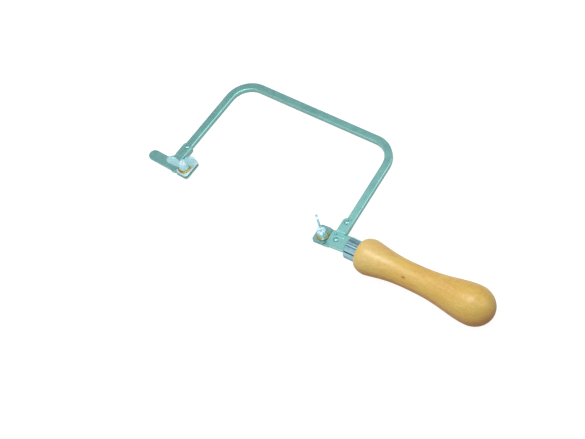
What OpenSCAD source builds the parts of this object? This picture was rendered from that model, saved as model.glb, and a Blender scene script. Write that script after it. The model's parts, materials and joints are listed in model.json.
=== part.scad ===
// Fret saw lying flat: a bent flat-steel bow, a riveted sheet-steel bracket with a
// screw clamp for the blade at each leg, and a turned wooden handle on a tang.
// The handle runs along +X, the back of the bow lies toward +Y and the wing screws stand up.
// The origin is the middle of the bottom of the saw's bounding box.

/* [Bow] */
// Width of the bow over its outer corners, before they are rounded
bow_w = 150.6; // [120:0.1:200]
// Height of the bow's outer edge above the handle's axis
bow_h = 94.4; // [75:0.1:160]
// Width of the flat bar, seen from above
bar_w = 6.2; // [5:0.1:8]
// Thickness of the flat bar
bar_t = 4.5; // [3:0.1:6]
// Rounding along the long edges of the bar
bar_edge_r = 0.8; // [0.3:0.1:1.2]
// Outer radius of the two bends
bend_r = 22; // [14:0.5:30]
// Swelling of the bar's section in the bends
bend_swell = 0.02; // [0.01:0.01:0.05]
// Outward lean of each leg, in degrees
leg_splay = 3.4; // [0:0.1:6]

/* [Brackets] */
// Thickness of the bracket sheet
sheet_t = 1.5; // [1:0.1:1.8]
// Distance from the front screw to the middle of the front leg
front_inset = 11; // [10.5:0.1:14]
// Distance from the rear screw to the middle of the rear leg
rear_inset = 13.2; // [12:0.1:15]
// Height of the front screw above the handle's axis
front_screw_y = 2; // [-1:0.1:4]
// Height of the rear screw above the handle's axis
rear_screw_y = 0; // [-1:0.1:2]
// Reach of the front bracket below its screw
front_low = 6.1; // [5.5:0.1:8]
// Reach of the rear bracket below its screw
rear_low = 6.9; // [5.5:0.1:7.2]
// Reach of the bracket plates above the screw
plate_high = 7.3; // [6:0.1:8]
// Inset of the lower leaves from the edges of the bar and of the upper leaves
lower_inset = 0.8; // [0.4:0.1:0.9]
// Gap between the end of the upper leaf and the moving jaw
leaf_gap = 0.4; // [0.2:0.05:0.8]
// Height of the top of each bracket arm above its screw
arm_high = 19.6; // [18.8:0.1:24]
// Rounding of the top of each bracket arm
arm_r = 3.4; // [1:0.1:3.8]
// Run of the step where each leaf rises over the bar
rise_run = 3.6; // [2:0.1:4]
// Rounding of the inner corners of the leaves
fillet_r = 2.5; // [1:0.1:4]
// Reach of the ear at the root of each clamp, past the plate's edge
ear_reach = 0.7; // [0.3:0.1:1]
// Radius of that ear
ear_r = 2.2; // [1.5:0.1:2.5]
// Radius of the corner at the foot of each fixed jaw, beside the arm
foot_r = 1; // [0.4:0.1:1.2]
// Reach of the front stub from the front screw
stub_len = 34; // [26:0.5:45]
// Width of the front stub
stub_w = 8.9; // [7:0.1:11]
// Legs of the three-cornered web between the stub and its arm
web_w = 4.4; // [1:0.1:4.4]

/* [Clamps] */
// Reach of the jaws from the screw toward the blade
jaw_in = 6.2; // [5.5:0.1:8]
// Reach of the jaws from the screw toward the leg
jaw_out = 4.6; // [4.3:0.1:5]
// Height of the front jaws above the screw
front_jaw_high = 10.4; // [7:0.1:12]
// Height of the rear jaws above the screw
rear_jaw_high = 8.2; // [7:0.1:12]
// Thickness of the moving jaws
jaw_t = 1.5; // [1:0.1:3]
// Rounding of the corners of the jaws
jaw_r = 2.4; // [1:0.1:3]
// Opening of the front clamp as drawn
front_open = 1.2; // [0:0.1:2]
// Opening of the rear clamp as drawn
rear_open = 0; // [0:0.1:2]

/* [Wing screws] */
// Diameter of the screw studs over the thread
stud_d = 4.9; // [4:0.1:5.4]
// Reach of a stud past its nut with the clamp closed
stud_past = 1.5; // [0.5:0.1:4]
// Width of the screwdriver slot in the top of a stud
slot_w = 1.1; // [0.6:0.1:1.6]
// Depth of that slot
slot_depth = 1.2; // [0.6:0.1:2]
// Chamfer at both ends of a stud
stud_chamfer = 0.5; // [0.2:0.1:0.8]
// Diameter of a wing head's hub where it meets the washer
hub_d = 8; // [7.2:0.1:9.5]
// Diameter of the hub at its top
hub_top_d = 7; // [6.8:0.1:7.2]
// Height of the hub
hub_h = 5.6; // [4.5:0.1:8]
// Distance from tip to tip of the wings
wing_span = 22.6; // [20:0.1:34]
// Radius of the wing tips
wing_tip_r = 4; // [2.5:0.1:4.2]
// Height of the middle of the wing tips above the hub's seat
wing_tip_z = 9.8; // [5.5:0.1:11]
// Radius of the wings at their root, inside the hub
wing_root_r = 2.6; // [1.8:0.1:2.7]
// Thickness of the wings
wing_t = 1.6; // [1.2:0.1:2.6]
// Direction of the front wings from the handle's axis, in degrees
front_wing_turn = 26; // [-90:1:90]
// Direction of the rear wings from the handle's axis, in degrees
rear_wing_turn = -43; // [-90:1:90]
// Diameter of the washers
washer_d = 10; // [9.6:0.1:12]
// Thickness of the washers
washer_t = 1; // [0.6:0.1:1.6]
// Chamfer at the washers' rims
washer_chamfer = 0.2; // [0.1:0.05:0.25]
// Diameter of the clamp nuts under the fixed jaws
nut_d = 9; // [8:0.1:10]
// Height of the clamp nuts under the fixed jaws
nut_h = 3; // [2:0.1:5]
// Chamfer at the rims of the clamp nuts
nut_chamfer = 0.4; // [0.2:0.1:0.8]
// Diameter of the nut's spigot, set in the fixed jaw
spigot_d = 7; // [6.4:0.1:7.6]

/* [Rivets] */
// Diameter of the rivets
rivet_d = 3; // [2:0.1:3.5]
// Diameter of the rivet heads
rivet_head_d = 4.5; // [4:0.1:5]
// Height of the rivet heads
rivet_head_h = 1.1; // [0.6:0.1:1.6]
// Height of the leg rivets above the screw
leg_rivet_high = 16; // [14:0.1:17]
// Height of the plate rivets above the screw
plate_rivet_high = 0.5; // [-1:0.1:2]
// Distance of the plate rivets from the middle of the arm, toward the screw
plate_rivet_back = 1; // [0:0.1:2]

/* [Handle] */
// Distance from the rear screw to the ferrule's mouth, along the handle's axis
neck_len = 23.9; // [20:0.1:40]
// Length of the wooden handle past the ferrule
grip_len = 117.4; // [95:0.5:150]
// Diameter of the handle where it meets the ferrule
shoulder_d = 18.4; // [17.6:0.1:22]
// Length of the rounded shoulder
shoulder_len = 9; // [5:0.1:14]
// Diameter of the front swelling
swell_d = 27.8; // [25:0.1:34]
// Distance from the front swelling to the waist
waist_len = 33; // [25:0.5:45]
// Diameter of the waist
waist_d = 20.4; // [17:0.1:24]
// Diameter of the rear bulb
bulb_d = 31.4; // [28:0.1:38]
// Length of the domed end past the bulb
dome_len = 17.4; // [12:0.1:24]

/* [Ferrule and tang] */
// Outer diameter of the ferrule
ferrule_d = 16.9; // [16:0.1:17.4]
// Wall of the ferrule
ferrule_wall = 0.7; // [0.5:0.05:1]
// Length of the ferrule
ferrule_len = 10.4; // [7:0.1:16]
// Chamfer at the ferrule's mouth
ferrule_lip = 0.4; // [0.1:0.05:0.45]
// Width of the tang in the handle
tang_w = 8; // [5:0.1:9]
// Length of the tang past the ferrule's mouth
tang_len = 48; // [30:0.5:70]
// Length of the tang's point
tang_point = 6; // [3:0.1:12]
// Width of the tang at its tip
tang_tip_w = 2; // [1:0.1:4]

/* [Fits] */
// Gap between the closed jaws
jaw_shut_gap = 0.05; // [0.02:0.01:0.1]
// Play of a stud in its nut, on the radius
nut_play = 0.05; // [0.02:0.01:0.08]
// Play of a stud in its jaw and washer, on the radius
jaw_play = 0.3; // [0.2:0.05:0.4]
// Gap between fixed pieces that are riveted or pressed together
seat_gap = 0.03; // [0.01:0.01:0.05]
// Gap between the tang and the wood
tang_gap = 0.1; // [0.05:0.05:0.2]

/* [Hidden] */
$fn = 64;
// Faces round a turned handle
TURN_FN = 96;
// Overrun of the cuts
over = 1;
// Lap of the web into the stub and its arm
web_lap = 0.3;
// Rounding of the lower leaf's end, as a share of its width
strap_round_share = 0.45;
// Steps along each stretch of the handle's outline
STEPS = 12;
// Exponents that set how early the handle leaves the swelling and reaches the bulb
swell_ease = 0.65;
bulb_ease = 1.5;

// Bow: the bend's turn, its tangent length and its centre
bend_turn = 90 - leg_splay;
bend_x = bow_w / 2 - bend_r * tan(bend_turn / 2);
bend_y = bow_h - bend_r;
bend_mid_r = bend_r - bar_w / 2;
// Reach of the straight stretches into the bend, short enough to stay inside it
bend_lap = sqrt(bend_swell * bend_mid_r) / 2;
// Arm of each bracket, across the leg
function arm_in(inset) = inset - bar_w / 2 - seat_gap - sheet_t;
function arm_out(inset) = inset + bar_w / 2;
function arm_mid(inset) = (arm_in(inset) + arm_out(inset)) / 2;
// Middle of the leg at a height above the handle's axis
function leg_x(y) = bow_w / 2 - bar_w / 2 / cos(leg_splay) + (bow_h - y) * tan(leg_splay);
// Each screw, placed by its distance from the leg
front_screw_x = -leg_x(front_screw_y) + front_inset / cos(leg_splay);
rear_screw_x = leg_x(rear_screw_y) - rear_inset / cos(leg_splay);
// Step of the leaves over the bar: where it starts and ends above the screw
rise = bar_t / 2;
rise_end = plate_high;
rise_start = rise_end - rise_run;
bend_shift = sheet_t * tan(atan(rise / rise_run) / 2);
// Cut end of each leg above its screw, and the leg's straight length
leg_end_high = plate_high + seat_gap;
function leg_len(inset, screw_y) =
    (bend_y + bend_mid_r * sin(leg_splay) - screw_y - inset * sin(leg_splay)) / cos(leg_splay)
    - leg_end_high;
// Upper leaf's end at the clamp
leaf_end = jaw_out + leaf_gap;
// Rounding between each plate and the inner side of its arm, and the fixed jaw's side there
function corner_r(inset) = min(fillet_r, arm_in(inset) - leaf_end);
function fixed_out(inset) = arm_in(inset) - seat_gap - foot_r;
// Heights of the clamp's pieces over the fixed jaw's face, with the clamp shut
jaw_z = jaw_shut_gap;
washer_z = jaw_z + jaw_t;
head_z = washer_z + washer_t;
stud_len = head_z + sheet_t + nut_h + stud_past;
// Handle: places along its axis
axis_z = sheet_t / 2;
mouth_x = rear_screw_x + neck_len;
shoulder_x = mouth_x + ferrule_len;
swell_x = shoulder_x + shoulder_len;
waist_x = swell_x + waist_len;
end_x = shoulder_x + grip_len;
bulb_x = end_x - dome_len;
// Bounding box of the saw, which places the origin
stub_tip_r = stub_w / 2;
stub_mid = stub_len - stub_tip_r;
stub_high = stub_tip_r - front_low;
min_x = front_screw_x - stub_mid * cos(leg_splay) - stub_high * sin(leg_splay) - stub_tip_r;
min_y = -bulb_d / 2;
min_z = axis_z - bulb_d / 2;
ORIGIN = [(min_x + end_x) / 2, (min_y + bow_h) / 2, min_z];

// Colours
steel_paint = "#7aaca7";
zinc = "#b9cdd6";
brass = "#c79a3c";
beech = "#e3b96e";

// Rectangle between two corners
module area(low, high)
    translate(low) square(high - low);

// Rectangle between two corners, with all four corners rounded
module round_area(low, high, r) {
    area([low.x + r, low.y], [high.x - r, high.y]);
    area([low.x, low.y + r], [high.x, high.y - r]);
    for (x = [low.x + r, high.x - r], y = [low.y + r, high.y - r])
        translate([x, y]) circle(r);
}

// Fillet in the inner corner at p, whose open side lies toward side = [x sign, y sign]
module inner_fillet(p, r, side)
    translate(p) toward(side) difference() {
        translate([-over, -over]) square(r + over);
        translate([r, r]) circle(r);
    }

// Mirrors its children into the quadrant that side names
module toward(side)
    mirror([side.x < 0 ? 1 : 0, 0]) mirror([0, side.y < 0 ? 1 : 0]) children();

// Two circles joined by their outer tangents
module tapered_slot(a, ra, b, rb) {
    d = norm(b - a);
    along = (b - a) / d;
    across = [-along.y, along.x];
    lean = (ra - rb) / d;
    spread = sqrt(1 - lean * lean);
    up = lean * along + spread * across;
    down = lean * along - spread * across;
    translate(a) circle(ra);
    translate(b) circle(rb);
    polygon([a + ra * up, b + rb * up, b + rb * down, a + ra * down]);
}

// Turned rod on the plane, with a chamfer at both ends
module turned_rod(d, h, chamfer)
    rotate_extrude() polygon([
        [0, 0],
        [d / 2 - chamfer, 0],
        [d / 2, chamfer],
        [d / 2, h - chamfer],
        [d / 2 - chamfer, h],
        [0, h]
    ]);

// Section of the flat bar, with its long edges rounded, grown all round
module bar_section(grown)
    round_area([-bar_w / 2 - grown, -bar_t / 2 - grown], [bar_w / 2 + grown, bar_t / 2 + grown],
               bar_edge_r + grown);

// Places its children, drawn about a screw with the leg toward +X, on the front or rear bracket
module at_front()
    translate([front_screw_x, front_screw_y]) mirror([1, 0]) rotate(leg_splay) children();
module at_rear()
    translate([rear_screw_x, rear_screw_y]) rotate(leg_splay) children();

// Half of the bow, on the rear side: half its back, a bend and a leg. The straight stretches
// reach a little way into the bend, inside its swollen section.
module bow_half(inset, screw_y) {
    translate([0, bow_h - bar_w / 2]) rotate([90, 0, 90])
        linear_extrude(bend_x + bend_lap) bar_section(0);
    translate([bend_x, bend_y]) rotate([0, 0, leg_splay]) {
        rotate_extrude(angle = bend_turn, $fn = TURN_FN)
            translate([bend_mid_r, 0]) bar_section(bend_swell);
        translate([bend_mid_r, bend_lap]) rotate([90, 0, 0])
            linear_extrude(leg_len(inset, screw_y) + bend_lap) bar_section(0);
    }
}

module bow()
    color(steel_paint) difference() {
        union() {
            bow_half(rear_inset, rear_screw_y);
            mirror([1, 0]) bow_half(front_inset, front_screw_y);
        }
        at_front() rivet_hole(leg_rivet_at(front_inset));
        at_rear() rivet_hole(leg_rivet_at(rear_inset));
    }

// Places of a bracket's two rivets, from its screw
function leg_rivet_at(inset) = [arm_mid(inset), leg_rivet_high];
function plate_rivet_at(inset) = [arm_mid(inset) - plate_rivet_back, plate_rivet_high];

module rivet_hole(at)
    translate([at.x, at.y, -bar_t]) cylinder(h = 2 * bar_t, d = rivet_d + 2 * seat_gap);

// Leaves
// Side view of a leaf where it rises over the bar, drawn along the leg and upward
module rise_section()
    polygon([
        [rise_start - bend_shift - over, 0],
        [rise_start, 0],
        [rise_end, rise],
        [arm_high, rise],
        [arm_high, rise + sheet_t],
        [rise_end - bend_shift, rise + sheet_t],
        [rise_start - bend_shift, sheet_t],
        [rise_start - bend_shift - over, sheet_t]
    ]);

// Arm of a leaf, from one side of the leg to the other: the sheet that rises over the bar
module leaf_arm(from_x, to_x, r)
    intersection() {
        linear_extrude(rise + sheet_t) arm_outline(from_x, to_x, r);
        translate([from_x, 0]) rotate([90, 0, 90]) linear_extrude(to_x - from_x) rise_section();
    }

module arm_outline(from_x, to_x, r)
    round_area([from_x, rise_start - bend_shift - over - r], [to_x, arm_high], r);

// Wall of an upper leaf along the inner side of the bar
module arm_wall(inset)
    intersection() {
        translate([0, 0, -rise]) linear_extrude(2 * rise + sheet_t)
            arm_outline(arm_in(inset), arm_out(inset), arm_r);
        translate([arm_in(inset), rise_start, -rise])
            cube([sheet_t, arm_high - rise_start, 2 * rise + sheet_t]);
    }

// Flat plate of a leaf around the foot of its arm
module plate_outline(inset, low, out)
    difference() {
        union() {
            area([leaf_end, -low], [out, plate_high]);
            translate([leaf_end + ear_r, -low - ear_reach + ear_r]) circle(ear_r);
        }
        area([arm_in(inset), rise_start - bend_shift], [out + over, plate_high + over]);
    }

// Upper leaf, with an outline of its own added to its plate
module upper_leaf(inset, low)
    color(steel_paint) difference() {
        union() {
            linear_extrude(sheet_t) {
                plate_outline(inset, low, arm_out(inset));
                inner_fillet([arm_in(inset), plate_high], corner_r(inset), [-1, 1]);
                children();
            }
            leaf_arm(arm_in(inset), arm_out(inset), arm_r);
            arm_wall(inset);
        }
        rivet_hole(leg_rivet_at(inset));
        rivet_hole(plate_rivet_at(inset));
    }

module stub_outline() {
    area([leaf_end, -front_low], [stub_mid, stub_w - front_low]);
    translate([stub_mid, stub_high]) circle(stub_tip_r);
    web_outline([arm_out(front_inset), stub_w - front_low]);
}

// Web in the corner at p, between the stub and the arm
module web_outline(p)
    translate(p) polygon([
        [-web_lap, -web_lap],
        [web_w, -web_lap],
        [web_w, 0],
        [0, web_w],
        [-web_lap, web_w]
    ]);

module front_upper_leaf()
    at_front() upper_leaf(front_inset, front_low) stub_outline();

// Neck that runs to the ferrule, in the bracket's own directions
module neck_outline() {
    neck_end = (mouth_x - rear_screw_x) / cos(leg_splay) + over;
    area([leaf_end, -rear_low], [neck_end, rise_start - bend_shift]);
    area([arm_out(rear_inset), -rear_low], [neck_end, plate_high]);
}

module rear_upper_leaf() {
    color(steel_paint) difference() {
        at_rear() upper_leaf(rear_inset, rear_low) neck_outline();
        translate([mouth_x - seat_gap, -bow_h, -bar_t]) cube([bow_w, 2 * bow_h, 2 * bar_t]);
    }
    color(steel_paint) linear_extrude(sheet_t) tang_outline(0);
}

// Tang, from inside the plate to its point, grown by a gap all round
module tang_outline(gap)
    polygon([
        [mouth_x - ferrule_len, -tang_w / 2 - gap],
        [mouth_x + tang_len - tang_point, -tang_w / 2 - gap],
        [mouth_x + tang_len + gap, -tang_tip_w / 2 - gap],
        [mouth_x + tang_len + gap, tang_tip_w / 2 + gap],
        [mouth_x + tang_len - tang_point, tang_w / 2 + gap],
        [mouth_x - ferrule_len, tang_w / 2 + gap]
    ]);

// Lower leaf: a narrower strap under the bar, whose far end is the fixed jaw and holds the nut
module lower_leaf(inset, low, jaw_high) {
    strap_w = bar_w - 2 * lower_inset;
    strap_out = arm_out(inset) - lower_inset;
    color(steel_paint) mirror([0, 0, 1]) difference() {
        union() {
            linear_extrude(sheet_t) {
                plate_outline(inset, low - lower_inset, strap_out);
                jaw_outline(low, jaw_high, fixed_out(inset));
                inner_fillet([fixed_out(inset), plate_high], foot_r, [1, 1]);
            }
            leaf_arm(strap_out - strap_w, strap_out, strap_w * strap_round_share);
        }
        translate([0, 0, -over]) cylinder(h = sheet_t + 2 * over, d = spigot_d + 2 * seat_gap);
        rivet_hole(leg_rivet_at(inset));
        rivet_hole(plate_rivet_at(inset));
    }
}

module front_lower_leaf()
    at_front() lower_leaf(front_inset, front_low, front_jaw_high);

module rear_lower_leaf()
    at_rear() lower_leaf(rear_inset, rear_low, rear_jaw_high);

// Clamps
module jaw_outline(low, high, out)
    round_area([-jaw_in, -low], [out, high], jaw_r);

module jaw(low, high)
    color(steel_paint) translate([0, 0, jaw_z]) difference() {
        linear_extrude(jaw_t) jaw_outline(low, high, jaw_out);
        translate([0, 0, -over])
            cylinder(h = jaw_t + 2 * over, d = stud_d + 2 * jaw_play);
    }

module front_jaw()
    translate([0, 0, front_open]) at_front() jaw(front_low, front_jaw_high);

module rear_jaw()
    translate([0, 0, rear_open]) at_rear() jaw(rear_low, rear_jaw_high);

module washer()
    color(brass) translate([0, 0, washer_z]) difference() {
        turned_rod(washer_d, washer_t, washer_chamfer);
        translate([0, 0, -over])
            cylinder(h = washer_t + 2 * over, d = stud_d + 2 * jaw_play);
    }

module front_washer()
    translate([0, 0, front_open]) at_front() washer();

module rear_washer()
    translate([0, 0, rear_open]) at_rear() washer();

module clamp_nut()
    color(zinc) difference() {
        union() {
            translate([0, 0, -sheet_t]) cylinder(h = sheet_t, d = spigot_d);
            translate([0, 0, -sheet_t - nut_h]) turned_rod(nut_d, nut_h, nut_chamfer);
        }
        translate([0, 0, -sheet_t - nut_h - over])
            cylinder(h = sheet_t + nut_h + 2 * over, d = stud_d + 2 * nut_play);
    }

module front_clamp_nut()
    at_front() clamp_nut();

module rear_clamp_nut()
    at_rear() clamp_nut();

// Wing screws
module wing()
    rotate([90, 0, 0]) translate([0, 0, -wing_t / 2]) linear_extrude(wing_t)
        tapered_slot([wing_root_r, hub_h / 2], wing_root_r,
                     [wing_span / 2 - wing_tip_r, wing_tip_z], wing_tip_r);

module wing_head(turn)
    color(zinc) translate([0, 0, head_z]) rotate(turn) difference() {
        union() {
            cylinder(h = hub_h, d1 = hub_d, d2 = hub_top_d);
            wing();
            mirror([1, 0]) wing();
        }
        translate([0, 0, -over])
            cylinder(h = hub_h + wing_span + over, d = stud_d + 2 * seat_gap);
    }

module screw_stud(turn)
    color(zinc) translate([0, 0, head_z + hub_h]) rotate(turn) difference() {
        translate([0, 0, -stud_len - hub_h])
            turned_rod(stud_d, stud_len + hub_h, stud_chamfer);
        translate([-slot_w / 2, -stud_d, -slot_depth])
            cube([slot_w, 2 * stud_d, slot_depth + over]);
    }

module front_wing_head()
    translate([front_screw_x, front_screw_y, front_open]) wing_head(front_wing_turn);

module front_screw_stud()
    translate([front_screw_x, front_screw_y, front_open]) screw_stud(front_wing_turn);

module rear_wing_head()
    translate([rear_screw_x, rear_screw_y, rear_open]) wing_head(rear_wing_turn);

module rear_screw_stud()
    translate([rear_screw_x, rear_screw_y, rear_open]) screw_stud(rear_wing_turn);

// Rivets
module rivet(at, face)
    color(zinc) translate([at.x, at.y]) {
        translate([0, 0, -face]) cylinder(h = 2 * face, d = rivet_d);
        for (side = [0, 1])
            mirror([0, 0, side]) translate([0, 0, face]) rivet_head();
    }

// Domed head: a slice of a ball, flat side down
module rivet_head() {
    ball_r = (rivet_head_d * rivet_head_d / 4 + rivet_head_h * rivet_head_h) / (2 * rivet_head_h);
    intersection() {
        translate([0, 0, rivet_head_h - ball_r]) sphere(ball_r);
        cylinder(h = rivet_head_h + over, d = rivet_head_d + over);
    }
}

module front_leg_rivet()
    at_front() rivet(leg_rivet_at(front_inset), rise + sheet_t);

module rear_leg_rivet()
    at_rear() rivet(leg_rivet_at(rear_inset), rise + sheet_t);

module front_plate_rivet()
    at_front() rivet(plate_rivet_at(front_inset), sheet_t);

module rear_plate_rivet()
    at_rear() rivet(plate_rivet_at(rear_inset), sheet_t);

// Ferrule and handle, turned about the handle's axis
module turned()
    translate([0, 0, axis_z]) rotate([0, 90, 0]) rotate_extrude($fn = TURN_FN) children();

module ferrule()
    color(zinc) turned() polygon([
        [ferrule_d / 2 - ferrule_wall, mouth_x],
        [ferrule_d / 2 - ferrule_lip, mouth_x],
        [ferrule_d / 2, mouth_x + ferrule_lip],
        [ferrule_d / 2, shoulder_x],
        [ferrule_d / 2 - ferrule_wall, shoulder_x]
    ]);

// Outline of the handle: elliptic shoulder, swelling, waist, bulb and elliptic dome
function shoulder_at(t) =
    [shoulder_d / 2 + (swell_d - shoulder_d) / 2 * sin(90 * t), swell_x - shoulder_len * cos(90 * t)];
function waist_at(t) =
    [(waist_d + (swell_d - waist_d) * (1 + cos(180 * pow(t, swell_ease))) / 2) / 2,
     swell_x + waist_len * t];
function bulb_at(t) =
    [(waist_d + (bulb_d - waist_d) * (1 - cos(180 * pow(t, bulb_ease))) / 2) / 2,
     waist_x + (bulb_x - waist_x) * t];
function dome_at(t) = [bulb_d / 2 * cos(90 * t), bulb_x + dome_len * sin(90 * t)];

module handle()
    color(beech) difference() {
        turned() polygon(concat(
            [[0, mouth_x],
             [ferrule_d / 2 - ferrule_wall - seat_gap, mouth_x],
             [ferrule_d / 2 - ferrule_wall - seat_gap, shoulder_x + seat_gap]],
            [for (i = [0 : STEPS - 1]) shoulder_at(i / STEPS) + [0, seat_gap]],
            [for (i = [0 : STEPS - 1]) waist_at(i / STEPS)],
            [for (i = [0 : STEPS - 1]) bulb_at(i / STEPS)],
            [for (i = [0 : STEPS]) dome_at(i / STEPS)]
        ));
        translate([0, 0, -tang_gap]) linear_extrude(sheet_t + 2 * tang_gap) tang_outline(tang_gap);
    }

translate(-ORIGIN) {
    bow();
    front_upper_leaf();
    front_lower_leaf();
    front_leg_rivet();
    front_plate_rivet();
    front_clamp_nut();
    front_jaw();
    front_washer();
    front_wing_head();
    front_screw_stud();
    rear_upper_leaf();
    rear_lower_leaf();
    rear_leg_rivet();
    rear_plate_rivet();
    rear_clamp_nut();
    rear_jaw();
    rear_washer();
    rear_wing_head();
    rear_screw_stud();
    ferrule();
    handle();
}
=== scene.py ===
"""Finishes for the fret saw: plated steel bow and brackets, wing screws, brass washers, beech handle."""

import json
import math

import bmesh
import bpy
from mathutils import Matrix, Vector

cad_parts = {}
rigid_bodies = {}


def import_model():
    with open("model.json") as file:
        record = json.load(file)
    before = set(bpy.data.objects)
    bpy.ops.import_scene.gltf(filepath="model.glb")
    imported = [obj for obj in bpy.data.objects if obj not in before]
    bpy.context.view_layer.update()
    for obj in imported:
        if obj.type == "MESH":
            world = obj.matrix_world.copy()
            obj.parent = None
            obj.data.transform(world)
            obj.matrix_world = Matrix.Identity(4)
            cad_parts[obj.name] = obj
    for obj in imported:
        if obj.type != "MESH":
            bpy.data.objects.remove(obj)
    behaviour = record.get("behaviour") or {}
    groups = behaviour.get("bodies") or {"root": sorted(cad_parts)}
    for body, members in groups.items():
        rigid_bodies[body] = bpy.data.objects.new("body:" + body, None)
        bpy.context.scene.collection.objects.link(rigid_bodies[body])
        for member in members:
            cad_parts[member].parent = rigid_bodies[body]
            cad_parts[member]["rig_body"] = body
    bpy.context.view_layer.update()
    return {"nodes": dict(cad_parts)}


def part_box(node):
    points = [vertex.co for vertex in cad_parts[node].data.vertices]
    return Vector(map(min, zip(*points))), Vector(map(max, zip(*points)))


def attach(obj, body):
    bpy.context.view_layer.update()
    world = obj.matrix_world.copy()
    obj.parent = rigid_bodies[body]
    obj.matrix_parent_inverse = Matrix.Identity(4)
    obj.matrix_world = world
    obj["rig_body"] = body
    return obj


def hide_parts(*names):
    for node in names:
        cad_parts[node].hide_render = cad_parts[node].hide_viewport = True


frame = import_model()
nodes = frame["nodes"]

MM = 0.001
ENDS = ("front", "rear")
BLACK = "#000000"
WHITE = "#ffffff"

# A CAD node's loose triangles: points this close are one, and faces this flat are made whole
WELD = 0.0005 * MM
FLAT_ANGLE = math.radians(0.4)

# Rounded edges, as the shears, the lathe and the foundry leave them
SHEARED_EDGE = 0.28 * MM
TURNED_EDGE = 0.2 * MM
CAST_EDGE = 0.5 * MM
EDGE_ANGLE = math.radians(24)

# Bends sharper than these show as a crease
TURNED_CREASE = math.radians(32)
ROUNDED_CREASE = math.radians(40)
THREAD_CREASE = math.radians(50)
BLENDED_CREASE = math.radians(60)

# Blended sheet and castings: regrowth makes up for the smoothing, and share is of the faces kept
SHEET_BLEND = {"grain_size": 0.18 * MM, "rounds": 9, "regrowth": 0.03 * MM, "share": 0.25}
CAST_BLEND = {"grain_size": 0.12 * MM, "rounds": 3, "regrowth": 0.03 * MM}

# Screws and rivets
THREAD_PITCH = 0.8 * MM
THREAD_DEPTH = 0.42 * MM
THREAD_FLAT = 0.16
THREAD_SIDES = 48
THREAD_STEP = 0.08 * MM
SLOT_WIDTH = 1.0 * MM
SLOT_DEPTH = 1.4 * MM
SHANK_LENGTH = 5.4 * MM
BORE_CLEARANCE = 0.2 * MM
WING_TURN = {"front": math.radians(26), "rear": math.radians(-43)}
RIVET_HEAD_HEIGHT = 1.1 * MM
RIVET_SEAT = 0.05 * MM
RIVET_FULLNESS = 2.2
RIVET_SIDES = 48
RIVET_RINGS = 24

# Turned handle and ferrule
TURNED_SIDES = 160
OUTLINE_STEP = 0.01 * MM
CURVE_STEPS = 4
CLOSED_TIP = 0.02 * MM
FERRULE_WALL = 0.7 * MM
FERRULE_EDGE = 0.25 * MM
FERRULE_CORNER = 0.07 * MM
FERRULE_LIP = 0.45 * MM
FERRULE_HOLD = 0.15 * MM
LIP_STEPS = 6

# Lathe marks, drawn as coarse as they need to be to show
LATHE_MARK = 0.12 * MM

# Figure of the beech. Its pith line lies well below the handle and a little aslant
PITH_OFFSET = Vector((0, 9, 34)) * MM
PITH_TILT = (0, 0.05, 0.02)
RING_SPACING = 3.1 * MM
RING_SWAY = 7 * MM
SWAY_SIZE = 22 * MM
DRIFT_SIZE = 16 * MM
DRIFT_SHARE = 0.55
FIBRE_WIDTH = 0.42 * MM
RAY_WIDTH = 0.3 * MM
FIGURE_SHARE = 0.75
# Painted shade below this height, and a painted highlight on the top toward the ferrule
PAINTED_LIGHT_HEIGHT = 24 * MM
PAINTED_HIGHLIGHT_FROM = 80 * MM
PAINTED_HIGHLIGHT_TO = 40 * MM
PAINTED_HIGHLIGHT_SHARE = 0.55
PIN_KNOT = Vector((85.2, -46.2, 23.2)) * MM
KNOT_SIZE = Vector((2.6, 1.2, 1.2)) * MM

# Paper floor: its glow, what the camera and the metal see of that, and how far the saw darkens it
FLOOR_HALF = 3.0
FLOOR_GLOW = 1.3
FLOOR_CAMERA_SHARE = 0.7
FLOOR_NEAR_SHARE = 0.24
FLOOR_FAR_SHARE = 0.82
FLOOR_SHADOW_REACH = 35 * MM

# Light tent: a bright pane that the right-hand edges mirror, and a tube overhead along the handle
TENT_TILT = 0.07
PANE_DIRECTION = Vector((0.75, 0.36, 0.55)).normalized()
PANE_LIGHT = 1.6
TUBE_LIGHT = 1.5
TUBE_TILT = 0.04

# Lamps: the spot each faces in millimetres, direction, distance and size in metres, power in watts
LAMPS = {
    "overhead": ((130, -40, 15), (-0.14, -0.06, 0.99), 1.2, 0.4, 5.5),
    "front": ((85, -40, 15), (-0.38, -0.70, 0.59), 0.4, 0.3, 0.17),
    "back": ((10, -38, 15), (-0.448, 0.363, 0.817), 0.25, 0.1, 0.017),
}

# Camera, from the photograph's perspective
LOOK_AT = Vector((-22.75, -37.53, 14.95)) * MM
CAMERA_TURN = math.radians(51.455)
CAMERA_RISE = math.radians(54.794)
CAMERA_ROLL = math.radians(-20.987)
CAMERA_DISTANCE = 2200 * MM
SENSOR_WIDTH = 36
FOCAL_LENGTH = 179.76


def linear(code):
    """Linear colour of an sRGB hex code."""
    parts = [int(code[i : i + 2], 16) / 255 for i in (1, 3, 5)]
    return [c / 12.92 if c <= 0.04045 else ((c + 0.055) / 1.055) ** 2.4 for c in parts] + [1]


def add(tree, kind, links=None, stops=(), **settings):
    """Adds a node with its settings and colour stops, and sets or links the inputs that links names.

    A link is a number, colour or socket, a node for its first output, or arithmetic: a tuple of an
    operation and what it works on, such as ("ADD", height, 1.0), nested as deep as it needs to be.
    """
    node = tree.nodes.new(kind)
    for key, value in settings.items():
        setattr(node, key, value)
    if stops:
        points = node.color_ramp.elements
        while len(points) < len(stops):
            points.new(0.5)
        for point, (position, code) in zip(points, stops):
            point.position = position
            point.color = linear(code)
    for key, value in (links or {}).items():
        if isinstance(value, tuple) and isinstance(value[0], str):
            value = add(tree, "ShaderNodeMath", dict(enumerate(value[1:])), operation=value[0])
        if isinstance(value, bpy.types.Node):
            value = value.outputs[0]
        if isinstance(value, bpy.types.NodeSocket):
            tree.links.new(value, node.inputs[key])
        else:
            node.inputs[key].default_value = value
    return node


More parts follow.
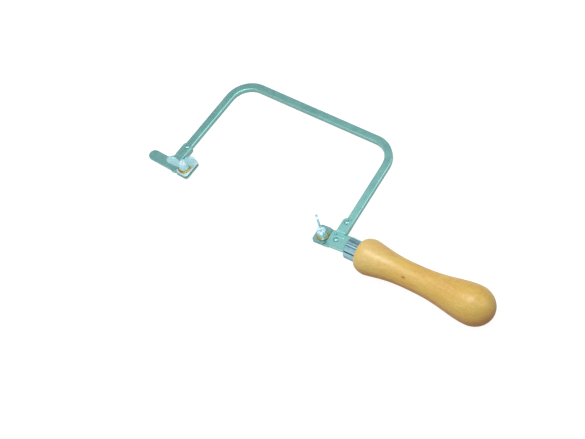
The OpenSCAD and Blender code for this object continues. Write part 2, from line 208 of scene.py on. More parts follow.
def cleared_tree(owner):
    """Empty node tree of a material or of the world."""
    owner.use_nodes = True
    owner.node_tree.nodes.clear()
    return owner.node_tree


def blank_material(name):
    """An empty material, its tree, its shader and its object coordinates in metres."""
    material = bpy.data.materials.new(name)
    tree = cleared_tree(material)
    shader = add(tree, "ShaderNodeBsdfPrincipled")
    add(tree, "ShaderNodeOutputMaterial", {"Surface": shader})
    place = add(tree, "ShaderNodeTexCoord").outputs["Object"]
    return material, tree, shader, place


def grain(tree, place, size, detail=3.0, stretch=(1, 1, 1)):
    """Noise whose patches measure about size, longer along the axes that stretch names."""
    scale = [size * s for s in stretch]
    mapped = add(
        tree, "ShaderNodeMapping", {"Vector": place, "Scale": scale}, vector_type="TEXTURE"
    )
    links = {"Vector": mapped, "Scale": 1, "Detail": detail, "Roughness": 0.55}
    return add(tree, "ShaderNodeTexNoise", links)


def finish_shader(tree, shader, tone, pattern, rough, relief, depth):
    """Gives a shader its colour, a roughness that follows a pattern, and a relief of a real depth."""
    spread = add(
        tree, "ShaderNodeMapRange", {"Value": pattern, "To Min": rough[0], "To Max": rough[1]}
    )
    bump = add(tree, "ShaderNodeBump", {"Height": relief, "Distance": depth, "Strength": 1.0})
    tree.links.new(tone, shader.inputs["Base Color"])
    tree.links.new(spread.outputs[0], shader.inputs["Roughness"])
    tree.links.new(bump.outputs[0], shader.inputs["Normal"])


def blue_green_zinc():
    """Zinc-plated mild steel, passivated blue-green: a satin skin whose tone drifts over the bar."""
    material, tree, shader, place = blank_material("blue_green_passivated_zinc")
    cloud = grain(tree, place, 9 * MM, detail=4)
    tone = add(
        tree,
        "ShaderNodeValToRGB",
        {"Fac": cloud},
        stops=[(0.3, "#8bc9c5"), (0.52, "#92cfcc"), (0.72, "#98d4d1")],
    )
    # The crystals of the plating, drawn as coarse as they need to be to show
    crystals = grain(tree, place, 0.9 * MM, detail=2)
    fleck = add(
        tree, "ShaderNodeValToRGB", {"Fac": crystals}, stops=[(0.3, "#f3f3f3"), (0.62, WHITE)]
    )
    # A colour mix takes its share at 0 and its colours at 6 and 7, and gives its result at 2
    flecked = add(
        tree, "ShaderNodeMix", {0: 1.0, 6: tone, 7: fleck}, data_type="RGBA", blend_type="MULTIPLY"
    )
    shader.inputs["Metallic"].default_value = 0.85
    relief = grain(tree, place, 0.5 * MM, detail=2)
    finish_shader(tree, shader, flecked.outputs[2], cloud, (0.3, 0.4), relief, 0.008 * MM)
    return material


def bright_zinc(name, tones, rough, metallic=1.0):
    """Bright zinc plate: a clear, slightly blue metal with a faint haze."""
    material, tree, shader, place = blank_material(name)
    haze = grain(tree, place, 2.5 * MM)
    tone = add(
        tree, "ShaderNodeValToRGB", {"Fac": haze}, stops=[(0.35, tones[0]), (0.65, tones[1])]
    )
    shader.inputs["Metallic"].default_value = metallic
    relief = grain(tree, place, 0.35 * MM, detail=2)
    finish_shader(tree, shader, tone.outputs[0], haze, rough, relief, 0.006 * MM)
    return material


def turned_metal(name, axis, centre, tones, rough):
    """Metal turned or polished on a lathe: fine rings round axis, seen as a soft streak of light."""
    material, tree, shader, place = blank_material(name)
    centred = add(
        tree, "ShaderNodeMapping", {"Vector": place, "Location": centre}, vector_type="TEXTURE"
    )
    parts = add(tree, "ShaderNodeSeparateXYZ", {"Vector": centred}).outputs
    a, b = (parts[i] for i in range(3) if i != axis)
    radius = ("SQRT", ("ADD", ("MULTIPLY", a, a), ("MULTIPLY", b, b)))
    rings = add(tree, "ShaderNodeCombineXYZ", {0: radius, 1: parts[axis]})
    marks = grain(tree, rings.outputs[0], LATHE_MARK, detail=2)
    haze = grain(tree, place, 3 * MM)
    tone = add(
        tree, "ShaderNodeValToRGB", {"Fac": haze}, stops=[(0.35, tones[0]), (0.65, tones[1])]
    )
    shader.inputs["Metallic"].default_value = 1.0
    finish_shader(tree, shader, tone.outputs[0], marks, rough, marks, 0.002 * MM)
    return material


def varnished_beech(axis):
    """Turned beech under clear varnish: growth rings, long fibres, short dark rays, a pin knot."""
    material, tree, shader, place = blank_material("varnished_beech")
    offset = (0, PITH_OFFSET.y - axis.y, PITH_OFFSET.z - axis.z)
    pith = add(
        tree, "ShaderNodeMapping", {"Vector": place, "Location": offset, "Rotation": PITH_TILT}
    )
    aside, above = add(tree, "ShaderNodeSeparateXYZ", {"Vector": pith}).outputs[1:]
    out = ("SQRT", ("ADD", ("MULTIPLY", aside, aside), ("MULTIPLY", above, above)))
    sway = grain(tree, place, SWAY_SIZE, detail=2, stretch=(3, 1, 1))
    swayed = ("ADD", out, ("MULTIPLY", sway, RING_SWAY))
    wave = ("SINE", ("MULTIPLY", swayed, 2 * math.pi / RING_SPACING))
    rings = add(
        tree,
        "ShaderNodeValToRGB",
        {"Fac": ("ADD", ("MULTIPLY", wave, 0.5), 0.5)},
        stops=[(0.0, "#ebc25e"), (0.6, "#efc966"), (1.0, "#e6b652")],
    )
    # Slow drifts of tone, from straw to a pinkish tan
    drift = grain(tree, place, DRIFT_SIZE, stretch=(2.2, 1, 1))
    warm = add(
        tree,
        "ShaderNodeValToRGB",
        {"Fac": drift},
        stops=[(0.36, "#f3db7a"), (0.5, "#edc55c"), (0.66, "#e9b76c")],
    )
    # Painted highlight: paler on top toward the ferrule. Painted shade: darker toward the bottom
    parts = add(tree, "ShaderNodeSeparateXYZ", {"Vector": place}).outputs
    painted_light_height = add(tree, "ShaderNodeMapRange", {"Value": parts["Z"], "From Max": PAINTED_LIGHT_HEIGHT})
    toward = add(
        tree,
        "ShaderNodeMapRange",
        {
            "Value": parts["X"],
            "From Min": PAINTED_HIGHLIGHT_FROM,
            "From Max": PAINTED_HIGHLIGHT_TO,
            "To Max": PAINTED_HIGHLIGHT_SHARE,
        },
    )
    painted_highlight = ("MULTIPLY", toward, ("POWER", painted_light_height, 3.0))
    painted_underside_shade = add(
        tree, "ShaderNodeValToRGB", {"Fac": painted_light_height}, stops=[(0.35, "#eab668"), (0.85, WHITE)]
    )
    # Fibres along the handle, in bundles that are coarse enough to show
    fibre = grain(tree, place, FIBRE_WIDTH, stretch=(26, 1, 1))
    fibres = add(
        tree, "ShaderNodeValToRGB", {"Fac": fibre}, stops=[(0.32, "#dddddd"), (0.58, WHITE)]
    )
    # Rays: short dark dashes, about 1.5 mm long
    dash = grain(tree, place, RAY_WIDTH, detail=1, stretch=(5, 1, 1))
    rays = add(
        tree, "ShaderNodeValToRGB", {"Fac": dash}, stops=[(0.61, WHITE), (0.72, "#c8c8c8")]
    )
    from_knot = add(
        tree,
        "ShaderNodeMapping",
        {"Vector": place, "Location": PIN_KNOT, "Scale": KNOT_SIZE},
        vector_type="TEXTURE",
    )
    far = add(tree, "ShaderNodeVectorMath", {0: from_knot}, operation="LENGTH").outputs["Value"]
    knot = add(tree, "ShaderNodeValToRGB", {"Fac": far}, stops=[(0.2, "#b9803e"), (1.0, WHITE)])

    wood = rings.outputs[0]
    for share, layer, blend in (
        (DRIFT_SHARE, warm, "MIX"),
        (painted_highlight, linear("#fce6a2"), "MIX"),
        (1.0, painted_underside_shade, "MULTIPLY"),
        (FIGURE_SHARE, fibres, "MULTIPLY"),
        (FIGURE_SHARE, rays, "MULTIPLY"),
        (1.0, knot, "MULTIPLY"),
    ):
        links = {0: share, 6: wood, 7: layer}
        wood = add(tree, "ShaderNodeMix", links, data_type="RGBA", blend_type=blend).outputs[2]
    shader.inputs["Specular IOR Level"].default_value = 0.3
    shader.inputs["Coat Weight"].default_value = 0.65
    shader.inputs["Coat IOR"].default_value = 1.9
    shader.inputs["Coat Roughness"].default_value = 0.42
    shader.inputs["Coat Tint"].default_value = linear("#fff8e8")
    finish_shader(tree, shader, wood, drift, (0.5, 0.6), fibre, 0.012 * MM)
    return material


def object_from(name, data):
    """A scene object that holds a mesh, a lamp or a camera."""
    piece = bpy.data.objects.new(name, data)
    bpy.context.scene.collection.objects.link(piece)
    return piece


def mesh_piece(name, shaped):
    """A scene object made of what was shaped in mesh code."""
    mesh = bpy.data.meshes.new(name)
    shaped.to_mesh(mesh)
    shaped.free()
    return object_from(name, mesh)


def baked(piece):
    """Applies a piece's modifiers and keeps its name."""
    graph = bpy.context.evaluated_depsgraph_get()
    mesh = bpy.data.meshes.new_from_object(piece.evaluated_get(graph))
    name = piece.name
    bpy.data.objects.remove(piece)
    return object_from(name, mesh)


def evenly_shaded(piece):
    """Lets the large faces lead the smooth shading between creases."""
    weighted = piece.modifiers.new("even_shading", "WEIGHTED_NORMAL")
    weighted.keep_sharp = True
    return baked(piece)


def creased(mesh, angle):
    """Smooth shading, except across edges sharper than angle."""
    shaped = bmesh.new()
    shaped.from_mesh(mesh)
    for face in shaped.faces:
        face.smooth = True
    for edge in shaped.edges:
        edge.smooth = edge.is_manifold and edge.calc_face_angle(0) < angle
    shaped.to_mesh(mesh)
    shaped.free()


def joined_copy(name, node):
    """Copy of a CAD node with its loose triangles joined and its flat faces made whole."""
    shaped = bmesh.new()
    shaped.from_mesh(nodes[node].data)
    bmesh.ops.remove_doubles(shaped, verts=shaped.verts, dist=WELD)
    bmesh.ops.dissolve_degenerate(shaped, edges=shaped.edges, dist=WELD)
    bmesh.ops.dissolve_limit(
        shaped, angle_limit=FLAT_ANGLE, verts=shaped.verts, edges=shaped.edges
    )
    return mesh_piece(name, shaped)


def finish_piece(piece, material, slot, *stood_for):
    """Dresses a piece that stands for CAD nodes of one body and lets it ride on that body."""
    piece.data.materials.clear()
    piece.data.materials.append(material)
    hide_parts(*stood_for)
    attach(piece, nodes[stood_for[0]]["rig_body"])


def mark_edges(mesh, bore):
    """Weighs the edges for the bevel: all sharp ones, except those of a bore of (centre, radius)."""
    shaped = bmesh.new()
    shaped.from_mesh(mesh)
    weight = shaped.edges.layers.float.new("bevel_weight_edge")
    for edge in shaped.edges:
        inside = bore and all((v.co - bore[0]).to_2d().length < bore[1] for v in edge.verts)
        edge[weight] = 0 if inside or edge.calc_face_angle(0) < EDGE_ANGLE else 1
    shaped.to_mesh(mesh)
    shaped.free()


def softened(name, node, width, segments=3, bore=None):
    """Copy of a CAD node with its edges rounded, except the edges of its bore."""
    piece = joined_copy(name, node)
    mark_edges(piece.data, bore)
    bevel = piece.modifiers.new("edges", "BEVEL")
    bevel.width = width
    bevel.segments = segments
    bevel.limit_method = "WEIGHT"
    piece = baked(piece)
    creased(piece.data, ROUNDED_CREASE)
    return evenly_shaded(piece)


def blended(piece, grain_size, rounds, regrowth, share=1.0):
    """The piece with its edges and corners blended: remeshed, smoothed, grown back and thinned out."""
    voxels = piece.modifiers.new("voxels", "REMESH")
    voxels.mode = "VOXEL"
    voxels.voxel_size = grain_size
    smooth = piece.modifiers.new("rounding", "SMOOTH")
    smooth.factor = 0.5
    smooth.iterations = rounds
    swell = piece.modifiers.new("regrowth", "DISPLACE")
    swell.mid_level = 0
    swell.strength = regrowth
    if share < 1:
        thin = piece.modifiers.new("thinning", "DECIMATE")
        thin.ratio = share
    piece = baked(piece)
    creased(piece.data, BLENDED_CREASE)
    return piece


def cast(name, node, bore):
    """Copy of a CAD node with the rounded edges and blended corners of a casting, and a sharp bore."""
    return blended(softened(name, node, CAST_EDGE, segments=4, bore=bore), **CAST_BLEND)


def pressed(name, node):
    """Copy of a CAD node with the soft folds and edges of pressed sheet."""
    return evenly_shaded(blended(joined_copy(name, node), **SHEET_BLEND))


def spun(name, outline, axis, closed=False):
    """Solid of revolution round a line along X through axis, from an outline of (x, radius) points."""
    shaped = bmesh.new()
    rings = []
    for x, radius in outline:
        ring = []
        for i in range(TURNED_SIDES):
            angle = 2 * math.pi * i / TURNED_SIDES
            ring.append(shaped.verts.new((x, radius * math.cos(angle), radius * math.sin(angle))))
        rings.append(ring)
    pairs = list(zip(rings, rings[1:]))
    if closed:
        pairs.append((rings[-1], rings[0]))
    else:
        shaped.faces.new(rings[0])
        shaped.faces.new(rings[-1])
    for low, high in pairs:
        for i in range(TURNED_SIDES):
            k = (i + 1) % TURNED_SIDES
            shaped.faces.new((low[i], low[k], high[k], high[i]))
    bmesh.ops.recalc_face_normals(shaped, faces=shaped.faces)
    bmesh.ops.translate(shaped, vec=(0, axis.y, axis.z), verts=shaped.verts)
    return mesh_piece(name, shaped)


def outline_of(node, axis):
    """Outer outline of a turned CAD node: its radius at each place along X."""
    radii = {}
    for vertex in nodes[node].data.vertices:
        x, y, z = vertex.co
        step = round(x / OUTLINE_STEP)
        radii[step] = max(radii.get(step, 0), math.hypot(y - axis.y, z - axis.z))
    return [(step * OUTLINE_STEP, radii[step]) for step in sorted(radii)]


def eased(points):
    """Smooth curve through the points, in a few steps from each to the next."""
    curve = []
    for i in range(len(points) - 1):
        before = points[max(i - 1, 0)]
        after = points[min(i + 2, len(points) - 1)]
        corners = list(zip(before, points[i], points[i + 1], after))
        for k in range(CURVE_STEPS):
            t = k / CURVE_STEPS
            curve.append(
                [
                    0.5
                    * (
                        2 * b
                        + (c - a) * t
                        + (2 * a - 5 * b + 4 * c - d) * t**2
                        + (3 * b - a - 3 * c + d) * t**3
                    )
                    for a, b, c, d in corners
                ]
            )
    curve.append(points[-1])
    return curve


def tree_with(name, sizes, counts=()):
    """Geometry node tree with named sizes, counts and a finish, and its group input and output."""
    tree = bpy.data.node_groups.new(name, "GeometryNodeTree")
    inputs = [("Geometry", "NodeSocketGeometry")]
    inputs += [(title, "NodeSocketFloat") for title in sizes]
    inputs += [(title, "NodeSocketInt") for title in counts]
    inputs += [("Finish", "NodeSocketMaterial")]
    for title, kind in inputs:
        tree.interface.new_socket(title, in_out="INPUT", socket_type=kind)
    tree.interface.new_socket("Geometry", in_out="OUTPUT", socket_type="NodeSocketGeometry")
    return tree, add(tree, "NodeGroupInput"), add(tree, "NodeGroupOutput")


def end_tree(tree, given, result, made):
    """Ends a tree with plain geometry in its finish."""
    single = add(tree, "GeometryNodeRealizeInstances", {"Geometry": made})
    dressed = add(
        tree, "GeometryNodeSetMaterial", {"Geometry": single, "Material": given.outputs["Finish"]}
    )
    tree.links.new(dressed.outputs[0], result.inputs["Geometry"])
    return tree


def run_tree(name, tree, base, values):
    """Runs a geometry node tree on a base mesh and returns the plain result."""
    piece = object_from(name, base)
    made = piece.modifiers.new("form", "NODES")
    made.node_group = tree
    for item in tree.interface.items_tree:
        if item.in_out == "INPUT" and item.name in values:
            made[item.identifier] = values[item.name]
    return baked(piece)


def thread_tree():
    """Tree that makes a slotted, threaded stud along Z, with its middle at the origin."""
    sizes = ("Length", "Radius", "Pitch", "Depth", "Slot width", "Slot depth", "Shank")
    tree, given, result = tree_with("rolled_thread", sizes, counts=("Rings",))
    length, radius, pitch, depth, slot_width, slot_depth, shank = (given.outputs[s] for s in sizes)
    rod = add(
        tree,
        "GeometryNodeMeshCylinder",
        {
            "Vertices": THREAD_SIDES,
            "Side Segments": given.outputs["Rings"],
            "Fill Segments": 3,
            "Radius": radius,
            "Depth": length,
        },
    )
    place = add(tree, "ShaderNodeSeparateXYZ", {"Vector": add(tree, "GeometryNodeInputPosition")})
    x, y, z = place.outputs
    # A 60 degree profile with a flat crest and root
    turn = ("DIVIDE", ("ARCTAN2", y, x), 2 * math.pi)
    phase = ("FRACT", ("SUBTRACT", ("DIVIDE", z, pitch), turn))
    flank = ("MULTIPLY", ("ABSOLUTE", ("SUBTRACT", phase, 0.5)), 2.0)
    groove = add(
        tree,
        "ShaderNodeMapRange",
        {"Value": flank, "From Min": THREAD_FLAT, "From Max": 1 - THREAD_FLAT},
    )
    # The top, which sits in the hub, is a plain shank; the lower end is chamfered to the thread's root
    half = add(tree, "ShaderNodeMath", {0: length, 1: 0.5}, operation="MULTIPLY")
    below_shank = ("SUBTRACT", ("SUBTRACT", half, z), shank)
    run_out = ("MINIMUM", ("MAXIMUM", ("DIVIDE", below_shank, pitch), 0.0), 1.0)
    cut = ("MULTIPLY", ("MULTIPLY", groove, depth), run_out)
    chamfer = ("MAXIMUM", ("SUBTRACT", depth, ("ADD", half, z)), 0.0)
    out = ("SQRT", ("ADD", ("MULTIPLY", x, x), ("MULTIPLY", y, y)))
    sunk = ("MULTIPLY", ("MAXIMUM", cut, chamfer), ("DIVIDE", out, radius))
    kept = add(tree, "ShaderNodeMath", {0: 1.0, 1: ("DIVIDE", sunk, radius)}, operation="SUBTRACT")
    rolled = add(
        tree, "ShaderNodeCombineXYZ", {0: ("MULTIPLY", x, kept), 1: ("MULTIPLY", y, kept), 2: z}
    )
    threaded = add(tree, "GeometryNodeSetPosition", {"Geometry": rod, "Position": rolled})
    # The screwdriver slot, cut by a bar that stands half above the top
    bar_size = {0: ("MULTIPLY", radius, 4.0), 1: slot_width, 2: ("MULTIPLY", slot_depth, 2.0)}
    bar = add(tree, "GeometryNodeMeshCube", {"Size": add(tree, "ShaderNodeCombineXYZ", bar_size)})
    top = add(tree, "ShaderNodeCombineXYZ", {2: half})
    raised = add(tree, "GeometryNodeTransform", {"Geometry": bar, "Translation": top})
    slotted = add(
        tree,
        "GeometryNodeMeshBoolean",
        {"Mesh 1": threaded, "Mesh 2": raised},
        operation="DIFFERENCE",
    )
    return end_tree(tree, given, result, slotted)


def rivet_tree():
    """Tree that sets a domed head on each point of the base mesh, turned down where side is -1."""
    sizes = ("Head diameter", "Head height", "Seat", "Fullness")
    tree, given, result = tree_with("domed_rivets", sizes)
    diameter, height, seat, fullness = (given.outputs[s] for s in sizes)
    ball = add(tree, "GeometryNodeMeshUVSphere", {"Segments": RIVET_SIDES, "Rings": RIVET_RINGS})
    place = add(tree, "ShaderNodeSeparateXYZ", {"Vector": add(tree, "GeometryNodeInputPosition")})
    x, y, z = place.outputs
    half = add(tree, "ShaderNodeMath", {0: diameter, 1: 0.5}, operation="MULTIPLY")
    out = ("ADD", ("MULTIPLY", x, x), ("MULTIPLY", y, y))
    flank = ("SUBTRACT", 1.0, ("POWER", ("MINIMUM", out, 1.0), fullness))
    above = ("MULTIPLY", ("MULTIPLY", flank, ("GREATER_THAN", z, 0.0)), height)
    below = ("MULTIPLY", ("MINIMUM", z, 0.0), seat)
    domed = add(
        tree,
        "ShaderNodeCombineXYZ",
        {0: ("MULTIPLY", x, half), 1: ("MULTIPLY", y, half), 2: ("ADD", above, below)},
    )
    head = add(tree, "GeometryNodeSetPosition", {"Geometry": ball, "Position": domed})
    smooth = add(tree, "GeometryNodeSetShadeSmooth", {"Geometry": head})
    side = add(tree, "GeometryNodeInputNamedAttribute", {"Name": "side"}, data_type="FLOAT")
    facing = ("MULTIPLY", ("SUBTRACT", 1.0, side.outputs["Attribute"]), math.pi / 2)
    turn = add(tree, "ShaderNodeCombineXYZ", {0: facing})
    heads = add(
        tree,
        "GeometryNodeInstanceOnPoints",
        {"Points": given.outputs["Geometry"], "Instance": smooth, "Rotation": turn},
    )
    return end_tree(tree, given, result, heads)


def make_stud(end, tree, material):
    """Threaded stud of one wing screw, with the screwdriver slot in its top."""
    node = end + "_screw_stud"
    low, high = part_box(node)
    length = high.z - low.z
    values = {
        "Length": length,
        "Radius": (high.x - low.x) / 2,
        "Pitch": THREAD_PITCH,
        "Depth": THREAD_DEPTH,
        "Slot width": SLOT_WIDTH,
        "Slot depth": SLOT_DEPTH,
        "Shank": SHANK_LENGTH,
        "Rings": round(length / THREAD_STEP),
        "Finish": material,
    }
    piece = run_tree(node + "_threaded", tree, bpy.data.meshes.new(node), values)
    turn = Matrix.Rotation(WING_TURN[end] + math.pi / 2, 4, "Z")
    piece.data.transform(Matrix.Translation((low + high) / 2) @ turn)
    creased(piece.data, THREAD_CREASE)
    finish_piece(piece, material, "plated_steel", node)


def make_rivets(tree, material):
    """All the rivets, as one piece with two domed heads each."""
    rivets = [end + kind for end in ENDS for kind in ("_leg_rivet", "_plate_rivet")]
    points, sides = [], []
    for node in rivets:
        low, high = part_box(node)
        centre = (low + high) / 2
        for side, face in ((1, high.z - RIVET_HEAD_HEIGHT), (-1, low.z + RIVET_HEAD_HEIGHT)):
            points.append((centre.x, centre.y, face))
            sides.append(side)
    base = bpy.data.meshes.new("rivet_places")
    base.from_pydata(points, [], [])
    base.attributes.new("side", "FLOAT", "POINT").data.foreach_set("value", sides)
    low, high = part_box(rivets[0])
    values = {
        "Head diameter": high.x - low.x,
        "Head height": RIVET_HEAD_HEIGHT,
        "Seat": RIVET_SEAT,
        "Fullness": RIVET_FULLNESS,
        "Finish": material,
    }
    piece = run_tree("rivets_domed", tree, base, values)
    finish_piece(piece, material, "plated_steel", *rivets)


def make_handle(material, axis):
    """Turned handle, on a smooth curve through the outline's places, with its spigot in the ferrule."""
    low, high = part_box("ferrule")
    tube = (high.y - low.y) / 2
    outline = outline_of("handle", axis)
    widest = max(outline, key=lambda p: p[1])[0]
    outer = [p for p in outline if p[1] > tube or p[0] > widest]
    spigot = [(low.x, tube - FERRULE_WALL), (outer[0][0], tube - FERRULE_WALL)]
    butt = outer[-1][0]
    profile = spigot + eased(outer[:-1] + [(butt, 0)])
    profile[-1] = (butt, CLOSED_TIP)
    piece = spun("handle_turned", profile, axis)
    creased(piece.data, TURNED_CREASE)
    finish_piece(piece, material, "beech", "handle")


def make_ferrule(material, axis):
    """Drawn tube with a lip that is rolled a little inward at its mouth."""
    low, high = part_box("ferrule")
    outer = (high.y - low.y) / 2
    inner = outer - FERRULE_WALL
    lip = []
    for i in range(LIP_STEPS + 1):
        angle = math.pi / 2 * i / LIP_STEPS
        x = low.x + FERRULE_LIP * (1 - math.cos(angle))
        lip.append((x, outer - FERRULE_LIP * (1 - math.sin(angle))))
    # A short straight run beside each rounding keeps the shading of the tube even
    edge = [
        (low.x + FERRULE_LIP + FERRULE_HOLD, outer),
        (high.x - FERRULE_EDGE - FERRULE_HOLD, outer),
        (high.x - FERRULE_EDGE, outer),
        (high.x - FERRULE_CORNER, outer - FERRULE_CORNER),
        (high.x, outer - FERRULE_EDGE),
    ]
    profile = [(low.x, inner)] + lip + edge + [(high.x, inner)]
    piece = spun("ferrule_drawn", profile, axis, closed=True)
    creased(piece.data, TURNED_CREASE)
    finish_piece(piece, material, "plated_steel", "ferrule")


def make_floor():
    """Pale floor with a faint shadow: white to the camera, and in reflections away from the saw."""
    mesh = bpy.data.meshes.new("floor")
    corners = [(x * FLOOR_HALF, y * FLOOR_HALF, 0) for x, y in ((-1, -1), (1, -1), (1, 1), (-1, 1))]
    mesh.from_pydata(corners, [], [(0, 1, 2, 3)])
    floor = object_from("floor", mesh)
    material = bpy.data.materials.new("white_paper")
    tree = cleared_tree(material)
    path = add(tree, "ShaderNodeLightPath").outputs
    seen = path["Is Camera Ray"]
    tone = add(
        tree,
        "ShaderNodeMix",
        {0: seen, 6: linear("#8b7350"), 7: linear("#f3f3f3")},
        data_type="RGBA",
    )
    paper = add(tree, "ShaderNodeBsdfDiffuse", {"Color": tone.outputs[2]})
    glow = add(tree, "ShaderNodeEmission", {"Color": linear(WHITE), "Strength": FLOOR_GLOW})
    # Painted shadow: close to the saw the mirrored paper is kept dark, by the length of the ray
    reach = ("MINIMUM", ("DIVIDE", path["Ray Length"], FLOOR_SHADOW_REACH), 1.0)
    lit = add(
        tree,
        "ShaderNodeMapRange",
        {"Value": ("POWER", reach, 2.0), "To Min": FLOOR_NEAR_SHARE, "To Max": FLOOR_FAR_SHARE},
    )
    mirrored = ("MAXIMUM", path["Is Glossy Ray"], path["Is Transmission Ray"])
    share = ("MAXIMUM", ("MULTIPLY", seen, FLOOR_CAMERA_SHARE), ("MULTIPLY", mirrored, lit))
    blend = add(tree, "ShaderNodeMixShader", {0: share, 1: paper, 2: glow})
    add(tree, "ShaderNodeOutputMaterial", {"Surface": blend})
    material.cycles.emission_sampling = "NONE"
    mesh.materials.append(material)


def make_world():
    """White light tent. Metal sees it bright low down and greyer overhead; wood gets an even light."""
    world = bpy.data.worlds.new("light_tent")
    tree = cleared_tree(world)
    sight = add(tree, "ShaderNodeTexCoord").outputs["Generated"]
    across, height = add(tree, "ShaderNodeSeparateXYZ", {"Vector": sight}).outputs[1:]
    # The dark room shows under the tent's edge, higher up on the near side
    tent = add(
        tree,
        "ShaderNodeValToRGB",
        {"Fac": ("ADD", height, ("MULTIPLY", across, TENT_TILT))},
        stops=[
            (0.0, "#3c4438"),
            (0.1, "#4c5448"),
            (0.18, "#dfdfdf"),
            (0.36, "#d4d4d4"),
            (0.56, "#b5b5b5"),
            (0.85, "#a8a8a8"),
        ],
    )
    toward = add(
        tree, "ShaderNodeVectorMath", {0: sight, 1: PANE_DIRECTION}, operation="DOT_PRODUCT"
    )
    pane = add(
        tree,
        "ShaderNodeValToRGB",
        {"Fac": toward.outputs["Value"]},
        stops=[(0.82, BLACK), (0.94, WHITE)],
    )
    # The tube makes the fine bright line on the ferrule, and ends where the tent's roof does
    off_tube = ("ABSOLUTE", ("ADD", across, ("MULTIPLY", height, TUBE_TILT)))
    tube = add(tree, "ShaderNodeValToRGB", {"Fac": off_tube}, stops=[(0.05, WHITE), (0.09, BLACK)])
    roof = add(tree, "ShaderNodeValToRGB", {"Fac": height}, stops=[(0.45, BLACK), (0.6, WHITE)])
    tube = add(
        tree, "ShaderNodeMix", {0: 1.0, 6: tube, 7: roof}, data_type="RGBA", blend_type="MULTIPLY"
    )
    for share, strength in ((pane.outputs[0], PANE_LIGHT), (tube.outputs[2], TUBE_LIGHT)):
        light = add(tree, "ShaderNodeVectorMath", {0: share, "Scale": strength}, operation="SCALE")
        tent = add(tree, "ShaderNodeVectorMath", {0: tent, 1: light}, operation="ADD")
    soft = add(
        tree,
        "ShaderNodeValToRGB",
        {"Fac": height},
        stops=[(0.0, "#302414"), (0.4, "#706450"), (0.8, "#e4e4e4")],
    )
    path = add(tree, "ShaderNodeLightPath").outputs
    mirrored = ("MAXIMUM", path["Is Glossy Ray"], path["Is Transmission Ray"])
    glow = add(tree, "ShaderNodeMix", {0: mirrored, 6: soft, 7: tent}, data_type="RGBA")
    glow = add(
        tree,
        "ShaderNodeMix",
        {0: path["Is Camera Ray"], 6: glow.outputs[2], 7: linear(WHITE)},
        data_type="RGBA",
    )
    backdrop = add(tree, "ShaderNodeBackground", {"Color": glow.outputs[2], "Strength": 1.0})
    add(tree, "ShaderNodeOutputWorld", {"Surface": backdrop})
    world.cycles.sampling_method = "NONE"
    bpy.context.scene.world = world


def make_lamps():
    """Square soft boxes, placed so that the highlights fall where the photograph has them."""
    for name, (spot, direction, distance, size, power) in LAMPS.items():
        lamp = bpy.data.lights.new(name, "AREA")
        lamp.shape = "SQUARE"
        lamp.size = size
        lamp.energy = power
        aim = Vector(spot) * MM
        box = object_from(name, lamp)
        box.location = aim + Vector(direction) * distance
        box.rotation_euler = (aim - box.location).to_track_quat("-Z", "Y").to_euler()


def make_camera():
    """Camera where the photograph was taken from."""
    rise, turn = CAMERA_RISE, CAMERA_TURN
    back = Vector((math.sin(turn) * math.cos(rise), -math.cos(turn) * math.cos(rise), math.sin(rise)))
    level = Vector((math.cos(turn), math.sin(turn), 0))
    right = math.cos(CAMERA_ROLL) * level + math.sin(CAMERA_ROLL) * back.cross(level)
    up = back.cross(right)
    lens = bpy.data.cameras.new("camera")
    lens.sensor_fit = "HORIZONTAL"
    lens.sensor_width = SENSOR_WIDTH
    lens.lens = FOCAL_LENGTH
    lens.clip_start = 0.1
    camera = object_from("camera", lens)
    turned = Matrix((right, up, back)).transposed().to_4x4()
    camera.matrix_world = Matrix.Translation(LOOK_AT + back * CAMERA_DISTANCE) @ turned
    bpy.context.scene.camera = camera


make_camera()

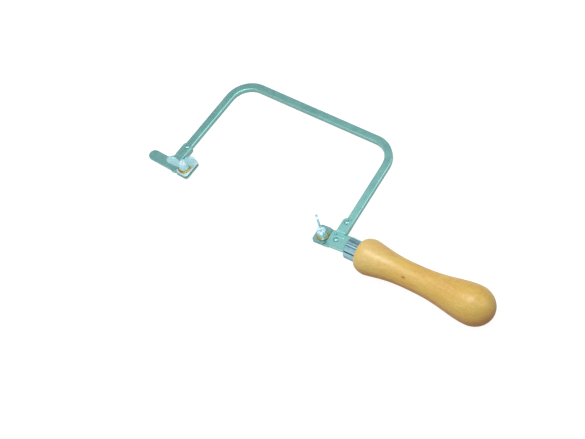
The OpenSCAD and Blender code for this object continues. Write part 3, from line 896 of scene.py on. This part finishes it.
# Finishes
ferrule_low, ferrule_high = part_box("ferrule")
handle_axis = (ferrule_low + ferrule_high) / 2
zinc_green = blue_green_zinc()
zinc_bright = bright_zinc("bright_zinc_plate", ("#acdeea", "#c0ecf5"), (0.4, 0.52), metallic=0.75)
stud_zinc = bright_zinc("turned_zinc_plate", ("#e2f6fb", "#f2fcff"), (0.4, 0.5), metallic=0.4)
rivet_zinc = bright_zinc("headed_zinc_plate", ("#8cc2c0", "#98cccb"), (0.22, 0.3))
# One plating for both jaws: the front is painted lighter and the rear darker, as painted light and shade
painted_light_jaw_zinc = {
    "front": bright_zinc("jaw_zinc_painted_light", ("#c6eaf1", "#d8f3f8"), (0.34, 0.46), metallic=0.6),
    "rear": bright_zinc("jaw_zinc_painted_shade", ("#7aaeb0", "#8abdbf"), (0.28, 0.4), metallic=0.85),
}
beech = varnished_beech(handle_axis)
nickel = turned_metal(
    "polished_nickel_plate", 0, handle_axis, ("#8ab6c2", "#98c2ce"), (0.1, 0.16)
)

# Bow, brackets and jaws
bow = joined_copy("bow_bent", "bow")
creased(bow.data, TURNED_CREASE)
finish_piece(evenly_shaded(bow), zinc_green, "painted_steel", "bow")
for end in ENDS:
    for leaf in (end + "_upper_leaf", end + "_lower_leaf"):
        finish_piece(pressed(leaf + "_pressed", leaf), zinc_green, "painted_steel", leaf)
    jaw = end + "_jaw"
    sheared = softened(jaw + "_sheared", jaw, SHEARED_EDGE)
    finish_piece(sheared, painted_light_jaw_zinc[end], "painted_steel", jaw)

# Screws, washers, nuts and rivets
threads = thread_tree()
for end in ENDS:
    washer, nut, wing_head = (end + kind for kind in ("_washer", "_clamp_nut", "_wing_head"))
    stud_low, stud_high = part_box(end + "_screw_stud")
    screw_axis = (stud_low + stud_high) / 2
    bore = (screw_axis, (stud_high.x - stud_low.x) / 2 + BORE_CLEARANCE)
    brass = turned_metal(end + "_turned_brass", 2, screw_axis, ("#c09340", "#d3ad5c"), (0.22, 0.34))
    finish_piece(softened(washer + "_turned", washer, TURNED_EDGE), brass, "brass", washer)
    finish_piece(softened(nut + "_turned", nut, TURNED_EDGE), zinc_bright, "plated_steel", nut)
    finish_piece(cast(wing_head + "_cast", wing_head, bore), zinc_bright, "plated_steel", wing_head)
    make_stud(end, threads, stud_zinc)
make_rivets(rivet_tree(), rivet_zinc)

# Ferrule and handle
make_ferrule(nickel, handle_axis)
make_handle(beech, handle_axis)

# Studio
make_floor()
make_world()
make_lamps()
bpy.context.scene.view_settings.view_transform = "Standard"
